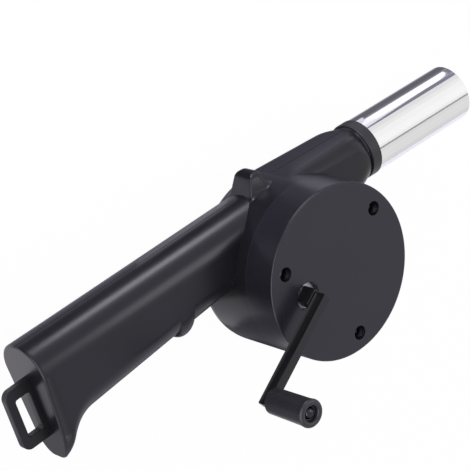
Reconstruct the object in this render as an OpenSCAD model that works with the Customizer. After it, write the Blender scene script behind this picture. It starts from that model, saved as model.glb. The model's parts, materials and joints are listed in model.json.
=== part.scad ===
// Hand crank blower: a two-half moulded housing with a gear train, a fan, a crank and a steel nozzle.
// The tool lies on its back, so the crank axis points up and the nozzle points along +X.

/* [Housing] */
// outer radius of the round fan housing
drum_r = 44.8; // [44.5:0.1:45.2]
// wall thickness of the mouldings
wall = 2.5; // [2:0.1:2.8]
// height of the parting plane above the back face
mid_z = 17; // [17:0.1:18]
// height of the front shell above the parting plane
front_h = 22; // [21:0.5:24]
// height of the gear cover above its seam
cover_h = 19; // [18.5:0.5:22]
// narrowing in radius of the gear cover from its seam to its face
cover_taper = 0.5; // [0.4:0.1:1]
// radius of the rounded edge of the cover face
face_edge_r = 0.9; // [0.5:0.1:1.5]
// radius of the rounded edge around the back
back_edge_r = 6; // [4:0.5:7]
// width of the ledge that carries the gear plate
ledge_w = 4.8; // [3.3:0.1:5.3]
// height of that ledge
ledge_h = 4; // [3:0.5:5]
// thickness of the gear plate
plate_t = 3; // [2.5:0.1:3.5]

/* [Intake] */
// radius of the solid centre of the intake grille
grille_hub_r = 9; // [8:0.5:10]
// outer radius of the intake grille
grille_r = 27; // [24:0.5:28]
// number of ring slots in the grille
grille_rings = 3; // [2:1:4]
// width of the ribs between the slots
grille_rib = 2; // [1.5:0.1:2.2]
// number of spokes across the slots
grille_spokes = 6; // [4:1:8]
// height of the bearing hub above the back face
bearing_hub_h = 8; // [7.5:0.1:8.2]

/* [Handle] */
// height in Y of the top line where it passes the fan axis
handle_top_y = 43.6; // [43.2:0.1:44]
// fall of the top line per millimetre towards the butt
handle_top_fall = 0.04; // [0.03:0.005:0.05]
// height in Y of the lower line, drawn on to the fan axis
handle_low_y = 10.2; // [9.2:0.2:11]
// fall of the lower line per millimetre towards the butt
handle_low_fall = 0.125; // [0.11:0.005:0.13]
// half of the handle thickness
handle_half = 15.5; // [15:0.1:16]
// radius of the round along the top of the handle
handle_top_r = 14.6; // [13:0.1:14.8]
// radius of the round along the underside
handle_low_r = 12; // [10:0.5:13]
// radius of that round across the butt
handle_butt_r = 15; // [13:0.1:15.2]
// height of that round at the butt
handle_butt_tall = 25; // [20:0.5:26]
// distance from the fan axis to the butt face
butt_x = 158.9; // [155:0.1:162]
// slant of the butt face per millimetre of height
butt_slant = 0.061; // [0.04:0.005:0.08]
// thickness of the butt wall
butt_wall = 3; // [2.5:0.1:3.5]
// radius of the rounded edge of the butt
butt_edge_r = 0.9; // [0.7:0.1:1.5]
// distance from the fan axis to the start of the pommel
pommel_x = 136; // [132:0.5:138]
// drop of the pommel below the lower line
pommel_drop = 17.5; // [15:0.5:19]
// sharpness of the pommel curve
pommel_power = 2.1; // [1.8:0.1:2.5]
// distance from the fan axis to the finger bump
bump_x = 76.4; // [72:0.2:80]
// half length of the finger bump
bump_half = 4.6; // [4:0.1:6]
// depth of the finger bump
bump_d = 3.2; // [2:0.1:4]

/* [Thumb stop] */
// distance from the fan axis to the buried foot of the thumb stop
stop_foot_x = 18.5; // [17.5:0.5:20]
// half width of the thumb stop at that foot
stop_foot_half = 8.7; // [8:0.1:10]
// distance from the fan axis to the ridge of the thumb stop
stop_ridge_x = 11.5; // [10.5:0.5:12.5]
// half width of the ridge at its start
stop_ridge_half = 5; // [4.5:0.1:5.5]
// length of the flat ridge
stop_ridge_l = 5; // [4:0.1:6]
// half width of the ridge at its end
stop_crest_half = 4.4; // [4:0.1:5]
// distance past the fan axis to the buried end of its tail
stop_tail_x = 1.8; // [1:0.1:2.4]
// half width of the thumb stop at that end
stop_tail_half = 17; // [15:0.5:18]
// height in Y of the ridge
stop_top_y = 53.2; // [50:0.2:55]
// height in Y of the buried base
stop_base_y = 38; // [37:0.5:39]

/* [Nozzle] */
// height in Y of the nozzle axis
nozzle_y = 30.2; // [29.8:0.1:30.4]
// depth of the flat top of the duct below the top of the housing
duct_top_drop = 0.2; // [0.1:0.05:0.4]
// half of the duct thickness at the housing
duct_half = 15.5; // [15:0.1:16]
// corner radius of the duct at the fan axis
duct_corner_r = 4.5; // [3.5:0.1:6]
// growth of that radius per millimetre towards the end
duct_corner_grow = 0.067; // [0.05:0.001:0.08]
// distance at which the duct starts to turn round
duct_turn_x = 46; // [42:0.5:48]
// distance from the fan axis to the end of the duct
duct_end_x = 57; // [56:0.1:58]
// step in radius from the end of the duct out to the tube
duct_end_step = 0.3; // [0.2:0.05:0.4]
// drop of the end of the duct below the nozzle axis
duct_end_drop = 0.8; // [0.5:0.05:0.9]
// rise of the duct underside per millimetre towards the end
duct_low_rise = 0.25; // [0.2:0.01:0.3]
// wall thickness of the spigot inside the tube
spigot_wall = 1.6; // [1.4:0.1:2.2]
// step in radius from the hollow of the duct out to the spigot bore
spigot_step = 1; // [0.9:0.05:1.2]
// length of the spigot inside the tube
spigot_l = 14; // [12:0.5:18]
// outer radius of the nozzle tube
tube_r = 14.9; // [14.7:0.1:15]
// wall thickness of the nozzle tube
tube_wall = 0.6; // [0.5:0.1:0.8]
// reduction in radius of the tube root inside the collar
tube_root_d = 0.7; // [0.65:0.05:0.9]
// distance from the fan axis to the open end of the tube
tube_end_x = 131.7; // [120:0.1:160]
// thickness of the collar outside the tube
collar_t = 0.4; // [0.35:0.05:0.6]
// width of the collar band
collar_w = 6.3; // [5.5:0.1:8]
// width of the groove behind the collar
groove_w = 1.5; // [1:0.1:2]

/* [Strap loop] */
// length of the loop along the butt
loop_l = 32.5; // [30:0.5:36]
// reach of the loop behind the butt
loop_reach = 15.4; // [14.5:0.1:18]
// thickness of the loop
loop_t = 4; // [3:0.1:5]
// width of the outer bar of the loop
loop_bar = 4.7; // [4:0.1:5]
// width of the end bars of the loop
loop_end = 6.1; // [5:0.1:7]
// width of the inner bar against the butt
loop_root = 2.6; // [2.2:0.1:3]
// radius of the outer corners
loop_corner_r = 4.5; // [3:0.1:5]
// radius of the slot corners
loop_slot_r = 1.2; // [0.8:0.1:1.6]
// height in Y of the middle of the loop
loop_y = 4.1; // [2:0.1:8]
// width of the neck that passes through the butt wall
loop_neck = 20; // [16:0.5:22]
// width of the bar that holds the loop from inside
loop_anchor = 26; // [24:0.5:28]
// thickness of that bar
loop_anchor_t = 3; // [2.5:0.1:4]

/* [Crank] */
// position of the crank axis along X
crank_x = -22.5; // [-23:0.1:-22]
// position of the crank axis along Y
crank_y = -1.5; // [-2:0.1:-1]
// radius of the crank shaft
crank_shaft_r = 3; // [2.8:0.05:3]
// outer radius of the crank bushes
crank_bush_r = 5; // [4.5:0.1:5.2]
// radius of the round opening in the cover face
crank_hole_r = 6.8; // [6.5:0.1:7.2]
// depth of that opening down to the flange of the bush
crank_hole_d = 2.9; // [2.6:0.1:3]
// length of the hub block past the crank axis, along the arm
crank_hub_l = 5.8; // [4:0.1:5.9]
// radius of the shaft tenon in the hub block and the arm
crank_spigot_r = 1.6; // [1.3:0.1:1.7]
// length of the arm between its two axes
arm_l = 54; // [48:0.5:60]
// direction of the arm at rest, in degrees
arm_angle = 214.3; // [205:0.1:225]
// width of the arm
arm_w = 5.2; // [5:0.1:7]
// depth of the arm
arm_t = 6.6; // [5.5:0.1:7.5]
// height of the underside of the arm above the cover face
arm_lift = 5.5; // [4.5:0.1:6.5]
// thickness of the arm left above the shaft tenon
arm_cap = 1.5; // [1:0.1:2]
// length of the arm past the crank axis
arm_hub_over = 2.8; // [2.5:0.1:5]
// length of the arm past the grip axis
arm_grip_over = 4; // [3.5:0.1:5]

/* [Grip] */
// radius of the grip at the arm
grip_r0 = 6.5; // [6:0.1:6.7]
// radius of the grip at its free end
grip_r1 = 7.3; // [7:0.1:8]
// radius of the grip where its end starts to flare
grip_waist_r = 6.8; // [6.6:0.05:6.95]
// length of that flare
grip_flare_l = 4; // [3:0.1:5]
// length of the grip
grip_l = 26.6; // [24:0.1:32]
// radius of the rounded edge of the free end
grip_edge_r = 1.2; // [0.8:0.1:1.6]
// radius of the recess in the free end
grip_recess_r = 3.8; // [3.6:0.1:4.2]
// depth of that recess
grip_recess_d = 2.6; // [2.4:0.1:3]
// radius of the grip pin
pin_r = 2.2; // [2:0.1:2.4]
// radius of the pin tenon in the arm
pin_tenon_r = 1.5; // [1.3:0.1:1.7]
// radius of the domed pin head
pin_head_r = 3.1; // [2.9:0.1:3.2]
// height of the domed pin head
pin_head_h = 1.9; // [1.5:0.1:2.2]

/* [Gears] */
// gear module
gear_module = 0.7; // [0.68:0.01:0.72]
// teeth on each wheel
wheel_teeth = 36; // [35:1:36]
// teeth on each pinion
pinion_teeth = 12; // [12:1:13]
// pressure angle of the teeth
pressure_angle = 25; // [24:0.5:26]
// thinning of each tooth that leaves the backlash
tooth_play = 0.1; // [0.08:0.01:0.14]
// face width of the wheels
gear_w = 5; // [4.5:0.1:5.2]
// height of the lower gears above the gear plate
gear_lift = 1.3; // [1.2:0.1:1.6]
// height between the lower and the upper wheel
gear_step = 1.5; // [1.3:0.1:1.7]
// radius of the idler axle
idler_axle_r = 2; // [1.8:0.1:2.2]

/* [Fan] */
// radius of the fan shaft
fan_shaft_r = 2; // [1.8:0.1:2.1]
// outer radius of the fan bushes
fan_bush_r = 4; // [3.5:0.1:4.2]
// outer radius of the fan wheel
fan_r = 30; // [27:0.5:30.5]
// radius of the fan hub
fan_hub_r = 6; // [5:0.1:7]
// height of the blades
fan_blade_h = 21; // [18:0.5:22]
// number of blades
fan_blades = 14; // [8:1:16]
// thickness of the blades
fan_blade_t = 1.2; // [1:0.1:1.6]
// inner radius of the blades
fan_blade_r = 13; // [11:0.5:16]
// backward lean of the blades in degrees
fan_blade_lean = 25; // [0:1:35]
// thickness of the fan disc
fan_disc_t = 1.6; // [1.2:0.1:2]

/* [Fasteners] */
// distance of the cover screws in from the outside of the housing
cover_screw_in = 8.8; // [8.6:0.1:9]
// angle of the first cover screw
cover_screw_angle = 34.2; // [32:0.1:36]
// radius of the recesses for the cover screws
cover_recess_r = 3.65; // [3.3:0.05:3.8]
// depth of the recesses for the cover screws
cover_recess_d = 6.5; // [6:0.1:7.5]
// radius of the posts inside the cover
cover_post_r = 5; // [4.8:0.1:5.1]
// distance of the shell screws around the fan in from the outside of the housing
shell_screw_in = 8; // [7.8:0.1:8.2]
// radius of the recesses for the shell screws
shell_recess_r = 3.2; // [3.1:0.05:3.4]
// depth of the recesses for the shell screws
shell_recess_d = 4; // [3.5:0.1:5]
// radius of the screw posts in the shells
post_r = 4.2; // [4:0.1:4.3]
// radius of the screw shanks
screw_r = 1.5; // [1.4:0.05:1.6]
// radius of the screw heads
screw_head_r = 2.8; // [2.6:0.1:3]
// height of the screw heads
screw_head_h = 2; // [1.6:0.1:2.2]
// length of the shell screws below the head
screw_l = 14; // [13:0.5:16]
// length of the cover screws below the head
cover_screw_l = 20.5; // [19.5:0.5:21.5]
// length of the cross recess in the heads
cross_l = 3.2; // [2.6:0.1:3.6]
// width of the cross recess in the heads
cross_w = 0.7; // [0.5:0.1:0.9]

/* [Fits] */
// radial clearance of a turning shaft
run_gap = 0.05; // [0.03:0.01:0.06]
// radial clearance of a seated piece
seat_gap = 0.04; // [0.02:0.01:0.06]
// clearance between pieces that turn past each other
free_gap = 0.3; // [0.25:0.05:0.4]
// thickness of the retaining rings
clip_t = 0.7; // [0.6:0.05:0.8]
// width of the retaining rings around their shaft
clip_w = 1.4; // [1.2:0.1:1.5]
// thickness of the bush flanges
flange_t = 1; // [0.8:0.1:1.2]
// width of the bush flanges
flange_w = 1.5; // [1.2:0.1:1.8]

/* [Hidden] */
round_fn = 64;
arc_steps = 9;
bump_step = 15;
pommel_steps = 9;
hollow_steps = 7;
edge_step = 30;
duct_steps = 12;
flank_steps = 5;
dome_steps = 6;
lap = 1;
handle_root_x = 12;
hollow_root_x = 20;
duct_root_x = 2;
duct_turn_power = 2.6;
duct_hollow_x = 12;
round_rest = 0.2;
root_depth = 1.25;
seam_z = mid_z + front_h;
face_z = seam_z + cover_h;
plate_z = seam_z - plate_t;
ledge_z = plate_z - ledge_h;
inner_r = drum_r - wall;
face_r = drum_r - cover_taper;
ledge_r = inner_r - ledge_w;
cover_top_z = face_z - wall;
bush_flange_z = plate_z - flange_t;
cover_screw_circle = drum_r - cover_screw_in;
shell_screw_circle = drum_r - shell_screw_in;
cover_angles = [for (i = [0 : 2]) cover_screw_angle + 120 * i];
cover_seat_z = face_z - cover_recess_d;
cover_screw_low_z = cover_seat_z - cover_screw_l;
drum_screw_angles = [130, 215, 320];
handle_screws = [[-60, 22], [-105, 18], [-144, 13]];
handle_back_z = mid_z - handle_half;
handle_front_z = mid_z + handle_half;
crank_at = [crank_x, crank_y];
gear_distance = gear_module * (wheel_teeth + pinion_teeth) / 2;
crank_reach = norm(crank_at);
crank_dir = atan2(crank_y, crank_x);
idler_dir = crank_dir + acos(crank_reach / 2 / gear_distance);
idler_at = gear_distance * [cos(idler_dir), sin(idler_dir)];
crank_to_idler = atan2(idler_at.y - crank_y, idler_at.x - crank_x);
idler_to_fan = idler_dir + 180;
low_gear_z = seam_z + gear_lift;
low_gear_top = low_gear_z + gear_w;
high_gear_z = low_gear_top + gear_step;
high_gear_top = high_gear_z + gear_w;
idler_top = high_gear_top + gear_step / 2;
crank_floor_z = face_z - crank_hole_d;
crank_flange_z = crank_floor_z - flange_t;
hub_z = crank_floor_z + free_gap;
arm_z = face_z + arm_lift;
arm_top = arm_z + arm_t;
grip_at = crank_at + arm_l * [cos(arm_angle), sin(arm_angle)];
grip_z = arm_top + free_gap;
grip_top = grip_z + grip_l;
recess_z = grip_top - grip_recess_d;
fan_low_z = bearing_hub_h + free_gap * 2;
fan_disc_z = fan_low_z + fan_blade_h;
fan_top_z = bush_flange_z - free_gap * 2;
tube_root_r = tube_r - tube_root_d;
spigot_r = tube_root_r - tube_wall - seat_gap;
spigot_bore_r = spigot_r - spigot_wall;
duct_end_r = tube_r - duct_end_step;
duct_top_y = drum_r - duct_top_drop;
collar_r = tube_r + collar_t;
collar_x = duct_end_x + groove_w;
collar_end_x = collar_x + collar_w;
butt_angle = atan(butt_slant);

// Blend from 0 to 1 with a soft start and end.
function soft(t) = let(c = min(max(t, 0), 1)) c * c * (3 - 2 * c);

// Half outline of a rounded bar, from the top of the parting plane round to its underside.
function half_outline(top, low, half, top_r, low_r, low_tall) = concat(
  [[top, 0]],
  [for (i = [0 : arc_steps]) let(a = 90 * i / arc_steps)
    [top - top_r + top_r * cos(a), half - top_r + top_r * sin(a)]],
  [for (i = [0 : arc_steps]) let(a = 90 * i / arc_steps)
    [low + low_tall - low_tall * sin(a), half - low_r + low_r * cos(a)]],
  [[low, 0]]);

// Solid through a row of half outlines taken towards -X; each station is [x, slant, outline].
module loft(stations) {
  n = len(stations[0][2]);
  last = len(stations) - 1;
  points = [for (s = stations) for (p = s[2]) [s[0] - s[1] * p.x, p.x, p.y]];
  sides = [for (i = [0 : last - 1]) for (j = [0 : n - 1]) let(a = i * n + j, b = i * n + (j + 1) % n)
    each [[a, b, b + n], [a, b + n, a + n]]];
  first_cap = [[for (j = [n - 1 : -1 : 0]) j]];
  last_cap = [[for (j = [0 : n - 1]) last * n + j]];
  polyhedron(points, concat(sides, first_cap, last_cap), convexity = 6);
}

function handle_top(x) = handle_top_y - handle_top_fall * x;
function pommel(x) = pommel_drop * pow(max(x - pommel_x, 0) / (butt_x - pommel_x), pommel_power);
function handle_low(x) = handle_low_y - handle_low_fall * x - pommel(x);
function bump(x) = bump_d * sqrt(max(0, 1 - pow((x - bump_x) / bump_half, 2)));
function slant_at(x) = butt_slant * soft((x - pommel_x) / (butt_x - pommel_x));
function low_round(x, at_butt) = handle_low_r
  + (at_butt - handle_low_r) * soft((x - pommel_x) / (butt_x - pommel_x));
function handle_outline(x, inset, drop) = half_outline(handle_top(x) - inset, handle_low(x) + inset - drop,
  handle_half - inset, handle_top_r - inset, low_round(x, handle_butt_r) - inset,
  low_round(x, handle_butt_tall) - inset);

// One half of the handle, seen from the parting plane outwards.
module handle_half_solid() {
  edge_x = butt_x - butt_edge_r;
  bump_list = [for (a = [-90 : bump_step : 90]) bump_x + bump_half * sin(a)];
  pommel_list = [for (i = [0 : pommel_steps]) pommel_x + (edge_x - pommel_x) * i / pommel_steps];
  loft(concat(
    [[-handle_root_x, 0, handle_outline(handle_root_x, 0, 0)]],
    [for (x = bump_list) [-x, 0, handle_outline(x, 0, bump(x))]],
    [for (x = pommel_list) [-x, slant_at(x), handle_outline(x, 0, 0)]],
    [for (a = [edge_step : edge_step : 90]) [-edge_x - butt_edge_r * sin(a), butt_slant,
      handle_outline(edge_x, butt_edge_r * (1 - cos(a)), 0)]]));
}

// The hollow of the same half, which stops at the butt wall.
module handle_half_hollow() {
  end = butt_x - butt_wall;
  loft(concat(
    [[-hollow_root_x, 0, handle_outline(hollow_root_x, wall, 0)]],
    [for (i = [0 : hollow_steps]) let(x = pommel_x + (end - pommel_x) * i / hollow_steps)
      [-x, slant_at(x), handle_outline(x, wall, 0)]]));
}

function duct_part(x) = (x - duct_turn_x) / (duct_end_x - duct_turn_x);
function duct_turn(x) = pow(max(duct_part(x), 0), duct_turn_power);
function duct_wall(x) = let(end_wall = duct_end_r - spigot_bore_r + spigot_step)
  wall + (end_wall - wall) * duct_turn(x);
function duct_outline(x, hollow) = let(
  s = duct_turn(x),
  inset = hollow ? duct_wall(x) : 0,
  end_y = nozzle_y - duct_end_drop,
  top = duct_top_y + (end_y + duct_end_r - duct_top_y) * x / duct_end_x - inset,
  low = end_y - duct_end_r - duct_low_rise * (duct_end_x - x) * (1 - s) + inset,
  half = duct_half + (duct_end_r - duct_half) * s - inset,
  flat_corner = duct_corner_r + duct_corner_grow * x - (hollow ? wall : 0),
  corner = flat_corner * (1 - s) + (half - round_rest) * s)
  half_outline(top, low, half, corner, corner, corner);

// One half of the duct between the fan and the nozzle, or of its hollow.
module duct_half_solid(hollow) {
  start = hollow ? duct_hollow_x : duct_root_x;
  loft(concat(
    [for (i = [duct_steps : -1 : 0]) let(x = duct_turn_x + (duct_end_x - duct_turn_x) * i / duct_steps)
      [x, 0, duct_outline(x, hollow)]],
    [[start, 0, duct_outline(start, hollow)]]));
}

// One half of the thumb stop, a wedge with a short ridge that spreads towards its tail.
module stop_half_solid() {
  side = [[-stop_foot_x, stop_base_y], [-stop_ridge_x, stop_top_y],
    [-stop_ridge_x + stop_ridge_l, stop_top_y], [stop_tail_x, stop_base_y]];
  wide = [stop_foot_half, stop_ridge_half, stop_crest_half, stop_tail_half];
  polyhedron(concat([for (p = side) [p.x, p.y, 0]], [for (i = [0 : 3]) [side[i].x, side[i].y, wide[i]]]),
    [[3, 2, 1, 0], [4, 5, 6], [4, 6, 7], [1, 5, 4, 0], [2, 6, 5, 1], [3, 7, 6, 2], [0, 4, 7, 3]]);
}

// Turned solid between two heights.
module turned(r, z0, z1) {
  translate([0, 0, z0])
    cylinder(r = r, h = z1 - z0, $fn = round_fn);
}

// Turned ring between two heights.
module ring(r, bore, z0, z1) {
  difference() {
    turned(r, z0, z1);
    turned(bore, z0 - lap, z1 + lap);
  }
}

// Turned solid along the nozzle axis.
module along_nozzle(r, x0, x1) {
  translate([x0, nozzle_y, mid_z])
    rotate([0, 90, 0])
      cylinder(r = r, h = x1 - x0, $fn = round_fn);
}

// Copies around the fan axis.
module around(angles, radius) {
  for (a = angles)
    translate([radius * cos(a), radius * sin(a), 0])
      children();
}

// Copies at the handle screws.
module at_handle_screws() {
  for (p = handle_screws)
    translate([p.x, p.y, 0])
      children();
}

// Pan head screw with its head up, the underside of the head at z = 0.
module screw(length) {
  difference() {
    union() {
      turned(screw_r, -length, lap / 2);
      turned(screw_head_r, 0, screw_head_h);
    }
    for (a = [0, 90])
      rotate([0, 0, a])
        translate([-cross_l / 2, -cross_w / 2, screw_head_h / 2])
          cube([cross_l, cross_w, screw_head_h]);
  }
}

// Room for the neck of the strap loop in the butt wall.
module loop_neck_room() {
  depth = butt_wall + 2 * lap;
  translate([-butt_x, 0, mid_z])
    rotate([0, 0, butt_angle])
      translate([-lap, loop_y - loop_neck / 2 - seat_gap, -loop_t / 2 - seat_gap])
        cube([depth + lap, loop_neck + 2 * seat_gap, loop_t + 2 * seat_gap]);
}

// Slots of the intake grille.
module grille_slots() {
  pitch = (grille_r - grille_hub_r) / grille_rings;
  difference() {
    for (i = [0 : grille_rings - 1])
      ring(grille_hub_r + pitch * (i + 1), grille_hub_r + pitch * i + grille_rib, -lap, wall + lap);
    for (i = [0 : grille_spokes - 1])
      rotate([0, 0, 360 * i / grille_spokes])
        translate([0, -grille_rib / 2, -2 * lap])
          cube([grille_r + lap, grille_rib, wall + 4 * lap]);
  }
}

// Round back of the housing with its rounded edge.
module drum_back() {
  edge = drum_r - back_edge_r;
  rotate_extrude($fn = round_fn)
    polygon(concat([[0, mid_z], [0, 0]],
      [for (a = [0 : 10 : 90]) [edge + back_edge_r * sin(a), back_edge_r - back_edge_r * cos(a)]],
      [[drum_r, mid_z]]));
}

// Everything outside the fan chamber of one half, before the chamber is cut.
module outer_half() {
  difference() {
    handle_half_solid();
    handle_half_hollow();
  }
  duct_half_solid(false);
  stop_half_solid();
}

module back_shell() {
  color([0.1, 0.1, 0.11])
    difference() {
      union() {
        difference() {
          union() {
            translate([0, 0, mid_z])
              mirror([0, 0, 1])
                outer_half();
            drum_back();
            half_spigot() along_nozzle(spigot_r, duct_end_x - lap, duct_end_x + spigot_l);
          }
          turned(inner_r, wall, mid_z + lap);
          translate([0, 0, mid_z])
            mirror([0, 0, 1])
              duct_half_solid(true);
          along_nozzle(spigot_bore_r, duct_end_x - lap, duct_end_x + spigot_l + lap);
          grille_slots();
        }
        turned(grille_hub_r, 0, bearing_hub_h);
        around(drum_screw_angles, shell_screw_circle)
          turned(post_r, lap, mid_z);
        at_handle_screws()
          turned(post_r, handle_back_z + lap, mid_z);
      }
      turned(fan_bush_r, wall + seat_gap, bearing_hub_h + lap);
      around(drum_screw_angles, shell_screw_circle) {
        turned(shell_recess_r, -lap, shell_recess_d);
        turned(screw_r + seat_gap, 0, mid_z + lap);
      }
      at_handle_screws() {
        turned(shell_recess_r, -lap, handle_back_z + shell_recess_d);
        turned(screw_r + seat_gap, 0, mid_z + lap);
      }
      loop_neck_room();
    }
}

// Keeps the half of a nozzle piece that belongs to the back shell.
module half_spigot() {
  intersection() {
    children();
    translate([0, nozzle_y - 2 * tube_r, mid_z - 2 * tube_r])
      cube([2 * tube_end_x, 4 * tube_r, 2 * tube_r]);
  }
}

module front_shell() {
  color([0.1, 0.1, 0.11])
    difference() {
      union() {
        difference() {
          union() {
            translate([0, 0, mid_z])
              outer_half();
            turned(drum_r, mid_z, seam_z);
            translate([0, 0, 2 * mid_z])
              mirror([0, 0, 1])
                half_spigot() along_nozzle(spigot_r, duct_end_x - lap, duct_end_x + spigot_l);
          }
          turned(inner_r, mid_z - lap, seam_z + lap);
          translate([0, 0, mid_z])
            duct_half_solid(true);
          along_nozzle(spigot_bore_r, duct_end_x - lap, duct_end_x + spigot_l + lap);
        }
        ring(inner_r + wall / 2, ledge_r, ledge_z, plate_z);
        around(cover_angles, cover_screw_circle)
          turned(post_r, cover_screw_low_z - wall, plate_z);
        around(drum_screw_angles, shell_screw_circle)
          turned(post_r, mid_z, ledge_z + lap);
        at_handle_screws()
          turned(post_r, mid_z, handle_front_z - lap);
      }
      around(cover_angles, cover_screw_circle)
        turned(screw_r + seat_gap, cover_screw_low_z - lap, plate_z + lap);
      around(drum_screw_angles, shell_screw_circle)
        turned(screw_r + seat_gap, mid_z - lap, shell_recess_d + screw_l + lap);
      at_handle_screws()
        turned(screw_r + seat_gap, mid_z - lap, handle_back_z + shell_recess_d + screw_l + lap);
      loop_neck_room();
    }
}

module gear_plate() {
  color([0.75, 0.76, 0.78])
    difference() {
      turned(inner_r - seat_gap, plate_z, seam_z);
      around(cover_angles, cover_screw_circle)
        turned(screw_r + seat_gap, plate_z - lap, seam_z + lap);
      turned(fan_bush_r, plate_z - lap, seam_z + lap);
      translate(crank_at)
        turned(crank_bush_r, plate_z - lap, seam_z + lap);
      translate(idler_at)
        turned(idler_axle_r + seat_gap, plate_z - lap, seam_z + lap);
    }
}

module gear_cover() {
  edge = face_r - face_edge_r;
  color([0.12, 0.12, 0.13])
    difference() {
      union() {
        rotate_extrude($fn = round_fn)
          polygon(concat([[inner_r, seam_z], [drum_r, seam_z]],
            [for (a = [0 : 15 : 90]) [edge, face_z - face_edge_r] + face_edge_r * [cos(a), sin(a)]],
            [[0, face_z], [0, cover_top_z], [inner_r - wall / 2, cover_top_z]]));
        around(cover_angles, cover_screw_circle)
          turned(cover_post_r, seam_z, face_z - lap);
        translate(crank_at)
          turned(crank_hole_r + wall, cover_top_z - wall, face_z - lap);
      }
      around(cover_angles, cover_screw_circle) {
        turned(cover_recess_r, cover_seat_z, face_z + lap);
        turned(screw_r + seat_gap, seam_z - lap, face_z);
      }
      translate(crank_at) {
        turned(crank_bush_r, seam_z, face_z + lap);
        turned(crank_hole_r, crank_flange_z, face_z + lap);
      }
    }
}

module cover_screws() {
  color([0.7, 0.7, 0.72])
    around(cover_angles, cover_screw_circle)
      translate([0, 0, cover_seat_z])
        screw(cover_screw_l);
}

module shell_screws() {
  color([0.7, 0.7, 0.72]) {
    around(drum_screw_angles, shell_screw_circle)
      translate([0, 0, shell_recess_d])
        mirror([0, 0, 1])
          screw(screw_l);
    at_handle_screws()
      translate([0, 0, handle_back_z + shell_recess_d])
        mirror([0, 0, 1])
          screw(screw_l);
  }
}

module nozzle_collar() {
  color([0.11, 0.11, 0.12])
    difference() {
      along_nozzle(collar_r, collar_x, collar_end_x);
      along_nozzle(tube_root_r + seat_gap, collar_x - lap, collar_end_x + lap);
    }
}

module nozzle_tube() {
  color([0.8, 0.8, 0.82])
    difference() {
      union() {
        along_nozzle(tube_root_r, collar_x, collar_end_x + lap);
        along_nozzle(tube_r, collar_end_x, tube_end_x);
      }
      along_nozzle(tube_root_r - tube_wall, collar_x - lap, tube_end_x);
      along_nozzle(tube_r - tube_wall, collar_end_x + tube_wall, tube_end_x + lap);
    }
}

// Flat plate with rounded corners, centred on the Y axis and starting at x = 0.
module round_plate(length, width, r) {
  translate([r, -width / 2])
    square([length - 2 * r, width]);
  translate([0, r - width / 2])
    square([length, width - 2 * r]);
  for (x = [r, length - r])
    for (y = [r - width / 2, width / 2 - r])
      translate([x, y])
        circle(r = r, $fn = round_fn);
}

module strap_loop() {
  slot_l = loop_reach - loop_bar - loop_root;
  color([0.13, 0.13, 0.14])
    translate([-butt_x, 0, mid_z - loop_t / 2])
      rotate([0, 0, butt_angle])
        translate([0, loop_y])
          linear_extrude(loop_t) {
            difference() {
              translate([-loop_reach, 0])
                round_plate(loop_reach, loop_l, loop_corner_r);
              translate([-loop_root - slot_l, 0])
                round_plate(slot_l, loop_l - 2 * loop_end, loop_slot_r);
            }
            translate([-lap, -loop_neck / 2])
              square([butt_wall + 2 * lap, loop_neck]);
            translate([butt_wall + seat_gap, -loop_anchor / 2])
              square([loop_anchor_t, loop_anchor]);
          }
}

// Plain bush with a flange under the gear plate.
module flanged_bush(r, bore) {
  difference() {
    union() {
      turned(r - seat_gap, bush_flange_z, seam_z);
      turned(r + flange_w, bush_flange_z, plate_z);
    }
    turned(bore, bush_flange_z - lap, seam_z + lap);
  }
}

module crank_bush() {
  color([0.7, 0.7, 0.72])
    translate(crank_at)
      difference() {
        union() {
          turned(crank_bush_r - seat_gap, cover_top_z - wall, crank_floor_z);
          turned(crank_hole_r - seat_gap, crank_flange_z, crank_floor_z);
        }
        turned(crank_shaft_r + run_gap, seam_z, face_z);
      }
}

module crank_lower_bush() {
  color([0.72, 0.56, 0.3])
    translate(crank_at)
      flanged_bush(crank_bush_r, crank_shaft_r + run_gap);
}

module fan_upper_bush() {
  color([0.72, 0.56, 0.3])
    flanged_bush(fan_bush_r, fan_shaft_r + run_gap);
}

module fan_lower_bush() {
  color([0.72, 0.56, 0.3])
    ring(fan_bush_r - seat_gap, fan_shaft_r + run_gap, wall + seat_gap, bearing_hub_h);
}

module idler_axle() {
  color([0.7, 0.7, 0.72])
    translate(idler_at)
      turned(idler_axle_r, plate_z, idler_top + clip_t + gear_step / 2);
}

// Retaining ring on a shaft, from z upwards.
module clip(r, z) {
  ring(r + clip_w, r + seat_gap, z, z + clip_t);
}

module idler_clip() {
  color([0.5, 0.5, 0.52])
    translate(idler_at)
      clip(idler_axle_r, idler_top + free_gap);
}

module crank_shaft() {
  color([0.7, 0.7, 0.72])
    translate(crank_at) {
      turned(crank_shaft_r, bush_flange_z, hub_z);
      turned(crank_spigot_r, hub_z - lap, arm_top - arm_cap - seat_gap);
    }
}

module crank_clip() {
  color([0.5, 0.5, 0.52])
    translate(crank_at)
      clip(crank_shaft_r, high_gear_z - clip_t);
}

// Flank angle of an involute at radius r, measured from the middle of the tooth.
function involute(r, base) = let(t = sqrt(max(0, r * r / base / base - 1))) t * 180 / PI - atan(t);
function flank(r, teeth) = let(
  pitch = gear_module * teeth / 2,
  base = pitch * cos(pressure_angle),
  half = 90 / teeth - tooth_play / 4 / pitch * 180 / PI)
  half + involute(pitch, base) - involute(max(r, base), base);

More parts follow.
